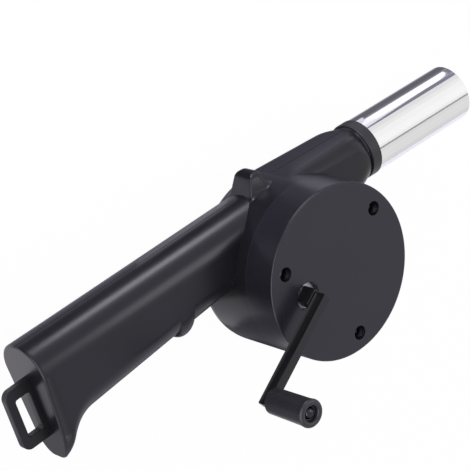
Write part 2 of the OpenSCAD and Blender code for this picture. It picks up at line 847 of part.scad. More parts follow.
// Outline of a spur gear with a tooth on the X axis.
module gear_outline(teeth) {
  pitch = gear_module * teeth / 2;
  base = pitch * cos(pressure_angle);
  tip = pitch + gear_module;
  root = pitch - root_depth * gear_module;
  start = max(base, root + run_gap);
  radii = concat([root], [for (i = [0 : flank_steps]) start + (tip - start) * i / flank_steps]);
  n = len(radii);
  polygon([for (k = [0 : teeth - 1]) let(mid = 360 * k / teeth) each concat(
    [for (i = [0 : n - 1]) let(a = mid - flank(radii[i], teeth)) radii[i] * [cos(a), sin(a)]],
    [for (i = [n - 1 : -1 : 0]) let(a = mid + flank(radii[i], teeth)) radii[i] * [cos(a), sin(a)]])]);
}

// Spur gear turned so that a tooth points along the given angle.
module gear(teeth, angle, z0, z1) {
  translate([0, 0, z0])
    rotate([0, 0, angle])
      linear_extrude(z1 - z0)
        gear_outline(teeth);
}

module crank_gear() {
  color([0.9, 0.88, 0.82])
    translate(crank_at)
      difference() {
        gear(wheel_teeth, crank_to_idler, high_gear_z, high_gear_top);
        turned(crank_shaft_r + seat_gap, high_gear_z - lap, high_gear_top + lap);
      }
}

module idler_gear() {
  half_pitch = 180 / pinion_teeth;
  color([0.9, 0.88, 0.82])
    translate(idler_at)
      difference() {
        union() {
          gear(wheel_teeth, idler_to_fan, low_gear_z, low_gear_top);
          gear(pinion_teeth, crank_to_idler + 180 + half_pitch, low_gear_top - lap, idler_top);
          turned(2 * idler_axle_r, seam_z + free_gap, low_gear_z + lap);
        }
        turned(idler_axle_r + run_gap, seam_z - lap, idler_top + lap);
      }
}

module fan_pinion() {
  half_pitch = 180 / pinion_teeth;
  color([0.9, 0.88, 0.82])
    difference() {
      gear(pinion_teeth, idler_dir + half_pitch, low_gear_z, low_gear_top);
      turned(fan_shaft_r + seat_gap, low_gear_z - lap, low_gear_top + lap);
    }
}

module fan_shaft() {
  color([0.7, 0.7, 0.72])
    turned(fan_shaft_r, wall + free_gap, low_gear_top + clip_t + lap);
}

module fan_clip() {
  color([0.5, 0.5, 0.52])
    clip(fan_shaft_r, low_gear_top + seat_gap);
}

module fan_wheel() {
  color([0.2, 0.2, 0.22])
    difference() {
      union() {
        turned(fan_hub_r, fan_low_z, fan_top_z);
        turned(fan_r, fan_disc_z, fan_disc_z + fan_disc_t);
        intersection() {
          turned(fan_r, fan_low_z, fan_disc_z + lap);
          for (i = [0 : fan_blades - 1])
            rotate([0, 0, 360 * i / fan_blades])
              translate([fan_blade_r, 0, fan_low_z])
                rotate([0, 0, fan_blade_lean])
                  translate([0, -fan_blade_t / 2, 0])
                    cube([fan_r, fan_blade_t, fan_blade_h + lap / 2]);
        }
      }
      turned(fan_shaft_r + seat_gap, fan_low_z - lap, fan_top_z + lap);
    }
}

// Block with the outline of the arm's inner end, over the given length along the arm.
module arm_block(length, z0, z1) {
  translate([crank_x, crank_y, z0])
    rotate([0, 0, arm_angle])
      translate([-arm_hub_over, -arm_w / 2, 0])
        cube([arm_hub_over + length, arm_w, z1 - z0]);
}

module crank_hub() {
  color([0.07, 0.07, 0.08])
    difference() {
      arm_block(crank_hub_l, hub_z, arm_z);
      translate(crank_at)
        turned(crank_spigot_r + seat_gap, hub_z - lap, arm_z + lap);
    }
}

module crank_arm() {
  color([0.07, 0.07, 0.08])
    difference() {
      arm_block(arm_l + arm_grip_over, arm_z, arm_top);
      translate(crank_at)
        turned(crank_spigot_r + seat_gap, arm_z - lap, arm_top - arm_cap);
      translate(grip_at)
        turned(pin_tenon_r + seat_gap, arm_z - lap, arm_top + lap);
    }
}

module grip_pin() {
  dome_r = (pin_head_r * pin_head_r + pin_head_h * pin_head_h) / 2 / pin_head_h;
  dome_a = asin(pin_head_r / dome_r);
  color([0.8, 0.8, 0.82])
    translate(grip_at)
      rotate_extrude($fn = round_fn)
        polygon(concat([[0, arm_z], [pin_tenon_r, arm_z], [pin_tenon_r, arm_top], [pin_r, arm_top],
            [pin_r, recess_z + free_gap]],
          [for (i = [0 : dome_steps]) let(a = dome_a * (1 - i / dome_steps))
            [dome_r * sin(a), recess_z + free_gap + pin_head_h - dome_r + dome_r * cos(a)]]));
}

module crank_grip() {
  edge = grip_r1 - grip_edge_r;
  color([0.11, 0.11, 0.12])
    translate(grip_at)
      rotate_extrude($fn = round_fn)
        polygon(concat([[pin_r + run_gap, grip_z], [grip_r0, grip_z]],
          [[grip_waist_r, grip_top - grip_flare_l]],
          [for (a = [0 : 15 : 90]) [edge, grip_top - grip_edge_r] + grip_edge_r * [cos(a), sin(a)]],
          [[grip_recess_r, grip_top], [grip_recess_r, recess_z], [pin_r + run_gap, recess_z]]));
}

back_shell();
front_shell();
gear_plate();
gear_cover();
cover_screws();
shell_screws();
nozzle_collar();
nozzle_tube();
strap_loop();
crank_bush();
crank_lower_bush();
fan_upper_bush();
fan_lower_bush();
idler_axle();
idler_clip();
crank_shaft();
crank_clip();
crank_gear();
crank_hub();
crank_arm();
grip_pin();
crank_grip();
idler_gear();
fan_shaft();
fan_pinion();
fan_clip();
fan_wheel();
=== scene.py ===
import json
import math

import bmesh
import bpy
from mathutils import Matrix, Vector


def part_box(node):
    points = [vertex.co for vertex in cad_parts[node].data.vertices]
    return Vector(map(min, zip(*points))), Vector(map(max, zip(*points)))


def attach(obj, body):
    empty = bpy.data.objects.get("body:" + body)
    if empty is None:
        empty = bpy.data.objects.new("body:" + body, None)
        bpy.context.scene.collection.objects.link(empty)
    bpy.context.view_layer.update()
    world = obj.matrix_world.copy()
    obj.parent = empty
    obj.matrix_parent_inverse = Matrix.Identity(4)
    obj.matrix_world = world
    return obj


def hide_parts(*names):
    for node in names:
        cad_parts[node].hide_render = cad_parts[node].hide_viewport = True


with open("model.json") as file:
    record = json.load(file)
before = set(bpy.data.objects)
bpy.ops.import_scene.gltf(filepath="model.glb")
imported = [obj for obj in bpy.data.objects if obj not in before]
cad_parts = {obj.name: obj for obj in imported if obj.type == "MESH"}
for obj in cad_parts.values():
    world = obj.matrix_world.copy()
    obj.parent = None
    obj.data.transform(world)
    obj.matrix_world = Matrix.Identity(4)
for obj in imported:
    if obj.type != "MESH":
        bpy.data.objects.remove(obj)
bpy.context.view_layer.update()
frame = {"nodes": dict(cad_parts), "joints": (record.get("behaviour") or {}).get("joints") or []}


# Housing halves
# Two black ABS mouldings that meet on a parting plane along the handle, the fan chamber and the air duct.
# Six screws from the back hold them together, and a fine groove along the plane marks the joint.
MM = 0.001
parting_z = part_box("front_shell")[0].z
cover_low, cover_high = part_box("gear_cover")
chamber_r = cover_high.x
seam_z = cover_low.z
tube_low, tube_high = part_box("nozzle_tube")
nozzle_y = (tube_low.y + tube_high.y) / 2
tube_r = (tube_high.y - tube_low.y) / 2
wall = 2.5 * MM
lap = 1 * MM
tiny = 0.001 * MM
joint_w, joint_d = 0.22 * MM, 0.6 * MM
chamber_sides = 192
hole_sides = 96
arc_steps = 20


def deselect_all():
    bpy.ops.object.select_all(action="DESELECT")


def take(piece):
    # Makes one piece the selected and active one.
    deselect_all()
    piece.select_set(True)
    bpy.context.view_layer.objects.active = piece


def edit(piece):
    # Goes into edit mode on one piece, with all of it selected.
    take(piece)
    bpy.ops.object.mode_set(mode="EDIT")
    bpy.ops.mesh.select_mode(type="VERT")
    bpy.ops.mesh.select_all(action="SELECT")


def leave():
    bpy.ops.object.mode_set(mode="OBJECT")


def pick_edges(piece, test):
    # In edit mode, selects the edges whose middle and direction pass the test.
    bpy.ops.mesh.select_mode(type="EDGE")
    bpy.ops.mesh.select_all(action="DESELECT")
    mesh = bmesh.from_edit_mesh(piece.data)
    for edge in mesh.edges:
        a, b = (vertex.co for vertex in edge.verts)
        if test((a + b) / 2, (b - a).normalized()):
            edge.select_set(True)
    bmesh.update_edit_mesh(piece.data)


def pick_faces(piece, test):
    # In edit mode, selects the faces whose middle and normal pass the test.
    bpy.ops.mesh.select_mode(type="FACE")
    bpy.ops.mesh.select_all(action="DESELECT")
    mesh = bmesh.from_edit_mesh(piece.data)
    for face in mesh.faces:
        if test(face.calc_center_median(), face.normal):
            face.select_set(True)
    bmesh.update_edit_mesh(piece.data)


def round_edges(radius, segments):
    # In edit mode, rounds the edges that are selected.
    bpy.ops.mesh.bevel(offset=radius, segments=segments, affect="EDGES")


def settle(name):
    # Names the new piece and puts its place into its mesh.
    piece = bpy.context.object
    piece.name = piece.data.name = name
    bpy.ops.object.transform_apply(location=True, rotation=True, scale=True)
    return piece


def combine(piece, other, how):
    # Joins another solid to the piece or cuts it out, and removes the other solid.
    step = piece.modifiers.new(how, "BOOLEAN")
    step.object = other
    step.operation = how
    step.solver = "EXACT"
    take(piece)
    bpy.ops.object.modifier_apply(modifier=step.name)
    bpy.data.objects.remove(other)


def loft(name, rows):
    # Skins a row of outlines: a grid takes one outline per line of points, then is welded and closed.
    columns = len(rows[0])
    deselect_all()
    bpy.ops.mesh.primitive_grid_add(x_subdivisions=columns, y_subdivisions=len(rows) - 1)
    piece = settle(name)
    places = [row[k % columns] for row in rows for k in range(columns + 1)]
    for vertex, place in zip(piece.data.vertices, places):
        vertex.co = place
    edit(piece)
    bpy.ops.mesh.remove_doubles(threshold=tiny)
    bpy.ops.mesh.select_all(action="SELECT")
    bpy.ops.mesh.fill_holes(sides=0)
    bpy.ops.mesh.select_all(action="SELECT")
    bpy.ops.mesh.normals_make_consistent(inside=False)
    leave()
    return piece


def round_bar(name, radius, z0, z1, at=(0, 0), sides=64):
    # An upright round bar.
    deselect_all()
    middle = (at[0], at[1], (z0 + z1) / 2)
    bpy.ops.mesh.primitive_cylinder_add(vertices=sides, radius=radius, depth=z1 - z0, location=middle)
    return settle(name)


def nozzle_bar(name, radius, x0, x1, sides=128):
    # A round bar along the axis of the nozzle.
    deselect_all()
    middle = ((x0 + x1) / 2, nozzle_y, parting_z)
    bpy.ops.mesh.primitive_cylinder_add(
        vertices=sides, radius=radius, depth=x1 - x0, location=middle, rotation=(0, math.pi / 2, 0))
    return settle(name)


def block(name, size, middle=(0, 0, 0), turn=0):
    # A square-edged block, turned about the upright.
    deselect_all()
    bpy.ops.mesh.primitive_cube_add(size=1, scale=size, location=middle, rotation=(0, 0, turn))
    return settle(name)


def keep_half(piece, side):
    # Cuts a piece on the parting plane and keeps one half of it.
    edit(piece)
    bpy.ops.mesh.bisect(
        plane_co=(0, 0, parting_z), plane_no=(0, 0, side), use_fill=True, clear_inner=True)
    leave()
    return piece


def half_outline(top, under, half, top_r, under_r, under_tall=None):
    # Half section of a rounded bar as (y, height over the parting plane), from the top round to the
    # underside, with the edge of the joint eased at both ends.
    points = [(top - joint_d, 0), (top, joint_w)]
    for i in range(arc_steps + 1):
        turn = math.pi / 2 * i / arc_steps
        points.append((top - top_r + top_r * math.cos(turn), half - top_r + top_r * math.sin(turn)))
    tall = under_tall or under_r
    for i in range(arc_steps + 1):
        turn = math.pi / 2 * i / arc_steps
        points.append((under + tall - tall * math.sin(turn), half - under_r + under_r * math.cos(turn)))
    return points + [(under, joint_w), (under + joint_d, 0)]


def spread(outline, reach):
    # Moves each point of a flat outline straight outwards by the reach that is given for it.
    moved = []
    for i, (a, b) in enumerate(outline):
        before, after = outline[i - 1], outline[(i + 1) % len(outline)]
        side = Vector((after[1] - before[1], before[0] - after[0])).normalized()
        moved.append((a + side.x * reach[i], b + side.y * reach[i]))
    return moved


fillet_step = 0.12 * MM


def fillet_reach(gap, radius):
    # How far a wall spreads where it runs into another surface, by its distance from that surface.
    left = min(max(radius - gap - fillet_step, 0), radius - fillet_step)
    return radius - math.sqrt(radius ** 2 - left ** 2)


def ease(t):
    # Goes from 0 to 1 with a soft start and a soft end.
    t = min(max(t, 0), 1)
    return t * t * (3 - 2 * t)


# Handle sizes, measured from the fan axis towards the butt. By the slopes, top and underside fall that way.
handle_root_x = 12 * MM
handle_root_step, handle_root_rows = 0.16 * MM, 228
handle_top_y, handle_top_slope = 43.6 * MM, 0.04
handle_under_y, handle_under_slope = 10.2 * MM, 0.125
handle_half = 15.5 * MM
handle_top_r = 14.6 * MM
handle_under_r = 12 * MM
handle_butt_r = 13 * MM
handle_butt_tall = 18 * MM
handle_fillet = 0.3 * MM
level_top_h, level_fade_h = 7 * MM, 4 * MM
butt_x = 158.9 * MM
butt_slant = 0.061
butt_edge_r = 1.2 * MM
pommel_x = 136 * MM
pommel_drop = 18.6 * MM
pommel_power = 2.4
pommel_steps = 30
heel_l = 6 * MM
heel_rise = 1 * MM
heel_power = 2.4
heel_narrow = 0.42
heel_narrow_y = 18 * MM
heel_narrow_l = 34 * MM
finger_bump_x = 75.8 * MM
finger_bump_half = 4.6 * MM
finger_bump_d = 3.5 * MM


def handle_row(x, side, inset=0, bump=0, lean=None):
    # Outline of one handle half at a distance x from the fan axis.
    past = max(x - pommel_x, 0) / (butt_x - pommel_x)
    heel = (max(x - butt_x + heel_l, 0) / heel_l) ** heel_power
    top = handle_top_y - handle_top_slope * x
    under = handle_under_y - handle_under_slope * x - pommel_drop * past ** pommel_power + heel_rise * heel
    under_r = handle_under_r + (handle_butt_r - handle_under_r) * heel
    under_tall = handle_under_r + (handle_butt_tall - handle_under_r) * heel
    slant = butt_slant * ease(past) if lean is None else lean
    outline = half_outline(top - inset, under + inset - bump, handle_half - inset,
                           handle_top_r - inset, under_r - inset, under_tall - inset)
    # The lower part of the butt draws in at the heel.
    outline = [(y, h * (1 - heel_narrow * heel * ease((heel_narrow_y - y) / heel_narrow_l)))
               for y, h in outline]
    # Near the fan chamber the sides spread into a fillet, but the top runs in level.
    reach = [fillet_reach(math.hypot(x, y) - chamber_r, handle_fillet)
             * (1 - ease((y - top + level_top_h) / level_fade_h)) for y, h in outline]
    reach[0] = reach[1] = reach[-1] = reach[-2] = 0
    return [(-x - slant * y, y, parting_z + side * h) for y, h in spread(outline, reach)]


def handle_half_solid(name, side):
    # Rows from the root past the finger bump and the pommel, then round the edge of the butt.
    rows = [handle_row(handle_root_x + handle_root_step * i, side) for i in range(handle_root_rows)]
    for degrees in range(-90, 91, 10):
        turn = math.radians(degrees)
        x = finger_bump_x + finger_bump_half * math.sin(turn)
        rows.append(handle_row(x, side, bump=finger_bump_d * math.cos(turn)))
    edge_x = butt_x - butt_edge_r
    for i in range(pommel_steps + 1):
        rows.append(handle_row(pommel_x + (edge_x - pommel_x) * i / pommel_steps, side))
    for degrees in range(15, 91, 15):
        turn = math.radians(degrees)
        row = handle_row(edge_x, side, inset=butt_edge_r * (1 - math.cos(turn)), lean=butt_slant)
        rows.append([(x - butt_edge_r * math.sin(turn), y, z) for x, y, z in row])
    return loft(name, rows)


# Duct sizes: a flat-sided passage that turns round before the nozzle.
duct_root_x = 2 * MM
duct_hollow_x = 12 * MM
duct_turn_x = 46 * MM
duct_turn_power = 2.6
duct_turn_steps = 18
duct_end_x = 57 * MM
duct_end_r = tube_r - 0.3 * MM
duct_end_y = nozzle_y - 0.8 * MM
duct_half = 15.5 * MM
duct_corner_r, duct_corner_slope = 4.5 * MM, 0.067
duct_top_y = chamber_r - 0.2 * MM
duct_under_slope = 0.25
duct_under_round = 0.6
duct_flat = 0.25 * MM
spigot_r = tube_r - 1.34 * MM
spigot_bore_r = spigot_r - 1.6 * MM
spigot_end_x = duct_end_x + 14 * MM


def duct_row(x, side, hollow):
    # Outline of one duct half, or of its hollow, at a distance x from the fan axis.
    s = max((x - duct_turn_x) / (duct_end_x - duct_turn_x), 0) ** duct_turn_power
    end_wall = duct_end_r - spigot_bore_r + lap
    inset = wall + (end_wall - wall) * s if hollow else 0
    top = duct_top_y + (duct_end_y + duct_end_r - duct_top_y) * x / duct_end_x - inset
    under = duct_end_y - duct_end_r - duct_under_slope * (duct_end_x - x) * (1 - s) + inset
    half = duct_half + (duct_end_r - duct_half) * s - inset
    flat_corner = duct_corner_r + duct_corner_slope * x - (wall if hollow else 0)
    full_corner = half - duct_flat
    corner = flat_corner * (1 - s) + full_corner * s
    under_corner = (1 - duct_under_round) * corner + duct_under_round * full_corner
    outline = half_outline(top, under, half, corner, under_corner)
    if hollow:
        outline = [(top, -lap)] + outline[2:-2] + [(under, -lap)]
    return [(x, y, parting_z + side * h) for y, h in outline]


def duct_half_solid(name, side, hollow):
    # Rows from the nozzle back to the turn, and one more at the root.
    rows = [duct_row(duct_turn_x + (duct_end_x - duct_turn_x) * i / duct_turn_steps, side, hollow)
            for i in range(duct_turn_steps, -1, -1)]
    rows.append(duct_row(duct_hollow_x if hollow else duct_root_x, side, hollow))
    return loft(name, rows)


def rounded(corners, steps=5):
    # Turns corner points (radius, height, corner rounding) into an outline with rounded corners.
    points = []
    for i, (r, h, rounding) in enumerate(corners):
        here = Vector((r, h))
        if rounding == 0:
            points.append(here)
            continue
        before = (Vector(corners[i - 1][:2]) - here).normalized()
        after = (Vector(corners[(i + 1) % len(corners)][:2]) - here).normalized()
        between = before.angle(after)
        reach = rounding / math.tan(between / 2)
        centre = here + (before + after).normalized() * rounding / math.sin(between / 2)
        start, end = here + before * reach - centre, here + after * reach - centre
        sweep = start.angle_signed(end)
        for k in range(steps + 1):
            turn = -sweep * k / steps
            c, s = math.cos(turn), math.sin(turn)
            points.append(centre + Vector((start.x * c - start.y * s, start.x * s + start.y * c)))
    return points


# Thumb stop sizes. The ends and half widths of its foot and tail are in millimetres at the base, each with
# its change up to the ridge.
stop_base_y, stop_ridge_y = 38 * MM, 52.9 * MM
stop_ridge_round, stop_fillet = 2.4 * MM, 1.6 * MM
stop_level_h = 0.3 * MM
stop_foot, stop_foot_half = (-18.2, 6.8), (8.7, -2.8)
stop_tail, stop_tail_half = (1.8, -7.4), (17, -11.8)
stop_foot_r, stop_foot_share = 1 * MM, 0.3
stop_tail_r, stop_tail_share = 4.5 * MM, 0.4
stop_corner_steps = 8


def thumb_stop(name, side):
    # A wedge with a short ridge that spreads into the chamber and the handle, cut on the parting plane.
    straight_h = stop_ridge_y - stop_ridge_round - stop_base_y
    levels = [(stop_base_y + stop_level_h * i, 0) for i in range(int(straight_h / stop_level_h))]
    for degrees in range(0, 91, 10):
        turn = math.radians(degrees)
        levels.append((stop_ridge_y - stop_ridge_round + stop_ridge_round * math.sin(turn),
                       stop_ridge_round * (1 - math.cos(turn))))
    rows = []
    for y, inset in levels:
        f = (y - stop_base_y) / (stop_ridge_y - stop_base_y)
        foot_x, foot_half, tail_x, tail_half = (
            (base + change * f) * MM
            for base, change in (stop_foot, stop_foot_half, stop_tail, stop_tail_half))
        foot_x, foot_half = foot_x + inset, foot_half - inset
        tail_x, tail_half = tail_x - inset, tail_half - inset
        foot_corner = min(stop_foot_r, stop_foot_share * (tail_x - foot_x))
        tail_corner = min(stop_tail_r, stop_tail_share * (tail_x - foot_x))
        corners = [(foot_x, -foot_half, foot_corner), (tail_x, -tail_half, tail_corner),
                   (tail_x, tail_half, tail_corner), (foot_x, foot_half, foot_corner)]
        outline = rounded(corners, stop_corner_steps)
        reach = []
        for x, h in outline:
            chamber_y = math.sqrt(chamber_r ** 2 - x ** 2)
            handle_y = (handle_top_y + handle_top_slope * x - handle_top_r
                        + math.sqrt(max(handle_top_r ** 2 - h ** 2, 0)))
            reach.append(fillet_reach(y - max(chamber_y, handle_y), stop_fillet))
        rows.append([(x, y, parting_z + h) for x, h in spread([tuple(p) for p in outline], reach)])
    return keep_half(loft(name, rows), side)


def add_outside(shell, side):
    # Joins the handle, duct, thumb stop and spigot of one half to its part of the fan chamber.
    duct = duct_half_solid("duct", side, False)
    combine(duct, keep_half(nozzle_bar("spigot", spigot_r, duct_end_x - lap, spigot_end_x), side), "UNION")
    combine(shell, duct, "UNION")
    combine(shell, handle_half_solid("handle", side), "UNION")
    combine(shell, thumb_stop("stop", side), "UNION")
    combine(shell, duct_half_solid("hollow", side, True), "DIFFERENCE")
    combine(shell, nozzle_bar("bore", spigot_bore_r, duct_end_x - lap, spigot_end_x + lap), "DIFFERENCE")


front_shell = round_bar("housing_front", chamber_r, parting_z, seam_z, sides=chamber_sides)
add_outside(front_shell, 1)
hollow_r = chamber_r - wall
combine(front_shell, round_bar("chamber", hollow_r, parting_z - lap, seam_z + lap, sides=chamber_sides),
        "DIFFERENCE")

back_edge_r = 9 * MM
back_shell = round_bar("housing_back", chamber_r, 0, parting_z, sides=chamber_sides)
edit(back_shell)
pick_edges(back_shell, lambda middle, way: middle.z < lap and abs(way.z) < 0.5)
round_edges(back_edge_r, 12)
leave()
add_outside(back_shell, -1)
combine(back_shell, round_bar("chamber", hollow_r, wall, parting_z + lap, sides=chamber_sides), "DIFFERENCE")

# Intake grille in the back: rings of slots between six spokes, round the seat of the fan bearing.
grille_hub_r = 9 * MM
grille_pitch = 6 * MM
grille_rib = 2 * MM
bearing_h, bearing_bore_r = 8 * MM, 4 * MM
for ring in range(3):
    outer_r = grille_hub_r + grille_pitch * (ring + 1)
    inner_r = outer_r - grille_pitch + grille_rib
    slots = round_bar("slots", outer_r, -lap, wall + lap, sides=hole_sides)
    combine(slots, round_bar("core", inner_r, -2 * lap, wall + 2 * lap, sides=hole_sides), "DIFFERENCE")
    for spoke in range(3):
        rib = block("spoke", (3 * outer_r, grille_rib, 3 * wall), turn=math.pi / 3 * spoke)
        combine(slots, rib, "DIFFERENCE")
    combine(back_shell, slots, "DIFFERENCE")
combine(back_shell, round_bar("bearing_hub", grille_hub_r, lap, bearing_h, sides=hole_sides), "UNION")
combine(back_shell, round_bar("bearing_bore", bearing_bore_r, wall, bearing_h + lap), "DIFFERENCE")

# Recesses for the shell screws: three round the fan by their angles, three in the handle by their places.
recess_r = 3.2 * MM
recess_d = 4 * MM
post_r = 4.2 * MM
screw_circle = chamber_r - 8 * MM
handle_back_z = parting_z - handle_half
shell_seats = []
for degrees in (130, 215, 320):
    turn = math.radians(degrees)
    at = (screw_circle * math.cos(turn), screw_circle * math.sin(turn))
    combine(back_shell, round_bar("post", post_r, wall, parting_z, at), "UNION")
    combine(back_shell, round_bar("recess", recess_r, -lap, recess_d, at), "DIFFERENCE")
    shell_seats.append((*at, recess_d))
for x, y in ((-60, 22), (-105, 18), (-144, 13)):
    at = (x * MM, y * MM)
    combine(back_shell, round_bar("recess", recess_r, -lap, handle_back_z + recess_d, at), "DIFFERENCE")
    shell_seats.append((*at, handle_back_z + recess_d))


def new_material(name):
    # A new material, with its nodes, its links and the shader of its surface.
    material = bpy.data.materials.new(name)
    material.use_nodes = True
    nodes, links = material.node_tree.nodes, material.node_tree.links
    return material, nodes, links, nodes["Principled BSDF"]


grain_size, grain_depth = 0.3 * MM, 0.012 * MM
patch_size = 18 * MM
rubbed_edge = 0.5 * MM


def moulded_plastic(name, colour, roughness, shine=0.4):
    # A moulding: fine spark-eroded grain, patches of slightly different gloss, and rubbed edges.
    material, nodes, links, shader = new_material(name)
    shader.inputs["Specular IOR Level"].default_value = shine
    place = nodes.new("ShaderNodeTexCoord").outputs["Object"]
    grain_noise = nodes.new("ShaderNodeTexNoise")
    grain_noise.inputs["Scale"].default_value = 1 / grain_size
    grain_noise.inputs["Detail"].default_value = 3
    patch_noise = nodes.new("ShaderNodeTexNoise")
    patch_noise.inputs["Scale"].default_value = 1 / patch_size
    patch_noise.inputs["Detail"].default_value = 4
    edge_normal = nodes.new("ShaderNodeBevel")
    edge_normal.samples = 4
    edge_normal.inputs["Radius"].default_value = rubbed_edge
    geometry = nodes.new("ShaderNodeNewGeometry")
    edge_dot = nodes.new("ShaderNodeVectorMath")
    edge_dot.operation = "DOT_PRODUCT"
    edge_mask = nodes.new("ShaderNodeMapRange")
    edge_mask.inputs["From Min"].default_value = 0.98
    edge_mask.inputs["From Max"].default_value = 0.85
    tone = nodes.new("ShaderNodeMix")
    tone.data_type = "RGBA"
    tone.inputs["A"].default_value = (*[c * 0.86 for c in colour], 1)
    tone.inputs["B"].default_value = (*[c * 1.14 for c in colour], 1)
    worn = nodes.new("ShaderNodeMix")
    worn.data_type = "RGBA"
    worn.inputs["B"].default_value = (*[c * 1.3 + 0.002 for c in colour], 1)
    gloss = nodes.new("ShaderNodeMapRange")
    gloss.inputs["To Min"].default_value = roughness - 0.04
    gloss.inputs["To Max"].default_value = roughness + 0.04
    bump = nodes.new("ShaderNodeBump")
    bump.inputs["Strength"].default_value = 0.5
    bump.inputs["Distance"].default_value = grain_depth
    links.new(place, grain_noise.inputs["Vector"])
    links.new(place, patch_noise.inputs["Vector"])
    links.new(edge_normal.outputs["Normal"], edge_dot.inputs[0])
    links.new(geometry.outputs["Normal"], edge_dot.inputs[1])
    links.new(edge_dot.outputs["Value"], edge_mask.inputs["Value"])
    links.new(patch_noise.outputs["Fac"], tone.inputs["Factor"])
    links.new(tone.outputs["Result"], worn.inputs["A"])
    links.new(edge_mask.outputs["Result"], worn.inputs["Factor"])
    links.new(worn.outputs["Result"], shader.inputs["Base Color"])
    links.new(patch_noise.outputs["Fac"], gloss.inputs["Value"])
    links.new(gloss.outputs["Result"], shader.inputs["Roughness"])
    links.new(grain_noise.outputs["Fac"], bump.inputs["Height"])
    links.new(bump.outputs["Normal"], shader.inputs["Normal"])
    return material


crease = math.radians(32)


def finish_piece(piece, material, body, slot, *nodes):
    # Shades the piece smooth up to its creases, gives it its material, and hangs it on its body.
    take(piece)
    bpy.ops.object.shade_smooth_by_angle(angle=crease)
    level = piece.modifiers.new("level", "WEIGHTED_NORMAL")
    level.keep_sharp = True
    bpy.ops.object.modifier_apply(modifier=level.name)
    piece.data.materials.clear()
    piece.data.materials.append(material)
    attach(piece, body)
    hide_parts(*nodes)


shell_black = moulded_plastic("shell_black", (0.0082, 0.0078, 0.0105), 0.3, shine=0.36)
finish_piece(front_shell, shell_black, "housing", "shell", "front_shell")
finish_piece(back_shell, shell_black, "housing", "shell", "back_shell")


# Gear cover
# A flat round cap moulded in the same black ABS. It closes the gear case on the front shell and is held by
# three screws deep in its face, with a round opening for the crank bush.
face_z = cover_high.z
cover_taper = 0.1 * MM
cover_edge_r, cover_seam_r = 0.8 * MM, 0.03 * MM
gear_cover = round_bar("cover_cap", chamber_r, seam_z, face_z, sides=chamber_sides)
edit(gear_cover)
pick_faces(gear_cover, lambda middle, normal: normal.z > 0.9)
bpy.ops.transform.resize(value=((chamber_r - cover_taper) / chamber_r,) * 2 + (1,),
                         center_override=(0, 0, face_z))
pick_faces(gear_cover, lambda middle, normal: normal.z < -0.9)
bpy.ops.mesh.inset(thickness=wall)
bpy.ops.transform.translate(value=(0, 0, face_z - wall - seam_z))
pick_edges(gear_cover, lambda middle, way: middle.z > face_z - tiny)
round_edges(cover_edge_r, 6)
pick_edges(gear_cover, lambda middle, way: middle.z < seam_z + tiny and middle.xy.length > chamber_r - lap)
round_edges(cover_seam_r, 2)
leave()
cover_circle = chamber_r - 8.8 * MM
cover_screw_turn = 34.2
cover_post_r = 5 * MM
cover_recess_r = 3.65 * MM
cover_recess_z = face_z - 6.5 * MM
cover_seats = []
for screw in range(3):
    turn = math.radians(cover_screw_turn + 120 * screw)
    at = (cover_circle * math.cos(turn), cover_circle * math.sin(turn))
    cover_seats.append((*at, cover_recess_z))
    combine(gear_cover, round_bar("post", cover_post_r, seam_z, face_z - lap, at), "UNION")
    combine(gear_cover, round_bar("recess", cover_recess_r, cover_recess_z, face_z + lap, at), "DIFFERENCE")

# Opening for the crank: a boss behind it, the hole for the bush, and a small chamfer at the face.
crank_axis = next(j for j in frame["joints"] if j["name"] == "crank_spin")["pos_m"]
crank_xy = crank_axis[:2]
bush_low, bush_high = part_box("crank_bush")
crank_hole_r, bush_hole_r = 6.8 * MM, 5 * MM
bush_flange_t = 1 * MM
opening_edge, opening_flare = 0.3 * MM, 1.09
boss_r, boss_z = crank_hole_r + wall, face_z - 2 * wall
combine(gear_cover, round_bar("boss", boss_r, boss_z, face_z - lap, crank_xy), "UNION")
combine(gear_cover, round_bar("bush_hole", bush_hole_r, seam_z, face_z + lap, crank_xy), "DIFFERENCE")
opening = round_bar("opening", crank_hole_r, bush_high.z - bush_flange_t, face_z - opening_edge, crank_xy,
                    sides=hole_sides)
edit(opening)
pick_faces(opening, lambda middle, normal: normal.z > 0.9)
bpy.ops.mesh.extrude_region_move(TRANSFORM_OT_translate={"value": (0, 0, 2 * opening_edge)})
bpy.ops.transform.resize(value=(opening_flare, opening_flare, 1), center_override=(*crank_xy, face_z))
leave()
combine(gear_cover, opening, "DIFFERENCE")
cover_black = moulded_plastic("cover_black", (0.0115, 0.0108, 0.0152), 0.3, shine=0.41)
finish_piece(gear_cover, cover_black, "housing", "cover", "gear_cover")


# Nozzle collar
# A black ring pressed over the root of the tube. It stands a little proud of the tube, and a deep groove
# parts it from the end of the duct.
def turn_piece(name, outline, centre, axis, sides=128):
    # Turns a piece as on a lathe: a ring of points takes the outline of one side and is spun round the axis.
    deselect_all()
    bpy.ops.mesh.primitive_circle_add(vertices=len(outline), fill_type="NOTHING")
    piece = settle(name)
    across = Vector((0, 1, 0)) if axis.x else Vector((1, 0, 0))
    for vertex, (radius, height) in zip(piece.data.vertices, outline):
        vertex.co = centre + across * radius + axis * height
    edit(piece)
    bpy.ops.mesh.spin(steps=sides, angle=2 * math.pi, center=centre, axis=axis)
    bpy.ops.mesh.select_all(action="SELECT")
    bpy.ops.mesh.remove_doubles(threshold=tiny)
    bpy.ops.mesh.normals_make_consistent(inside=False)
    leave()
    return piece


